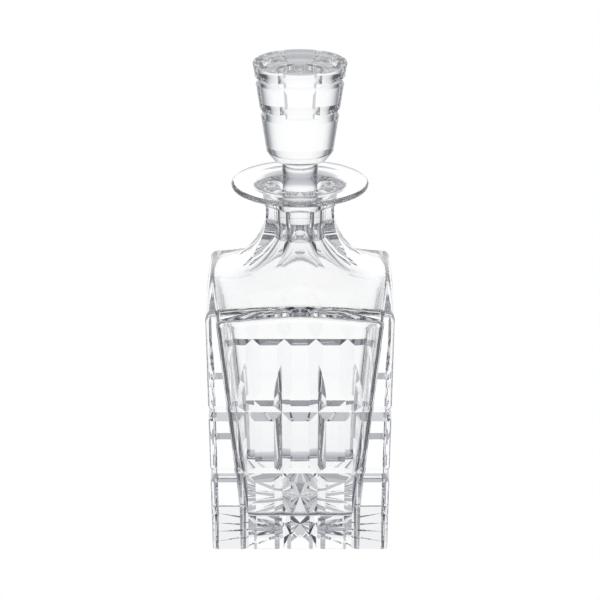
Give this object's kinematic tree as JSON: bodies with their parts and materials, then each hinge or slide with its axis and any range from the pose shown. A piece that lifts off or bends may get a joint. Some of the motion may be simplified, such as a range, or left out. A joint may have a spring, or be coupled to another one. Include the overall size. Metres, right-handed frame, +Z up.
{
  "type": "decanter",
  "caption": "Square cut-crystal spirit decanter with mitre-cut faces, octagonal fluted neck, flat pouring lip and a lift-out cut glass stopper.",
  "frame": {"origin": "centre of the underside, on the plane it stands on", "axes": "+Z up along the neck and the stopper, -Y out of the front face, +X to the right seen from the front; the four faces are alike"},
  "size_m": [0.1, 0.1, 0.2614],
  "materials": {
    "body_crystal": "polished",
    "stopper_crystal": "polished"
  },
  "bodies": {
    "decanter": {"decanter_body": "body_crystal"},
    "stopper": {"stopper": "stopper_crystal"}
  },
  "joints": [
    {"name": "stopper_lift", "type": "slide", "parent": "decanter", "child": "stopper", "axis": [0, 0, 1], "range_m": [0, 0.06]}
  ]
}
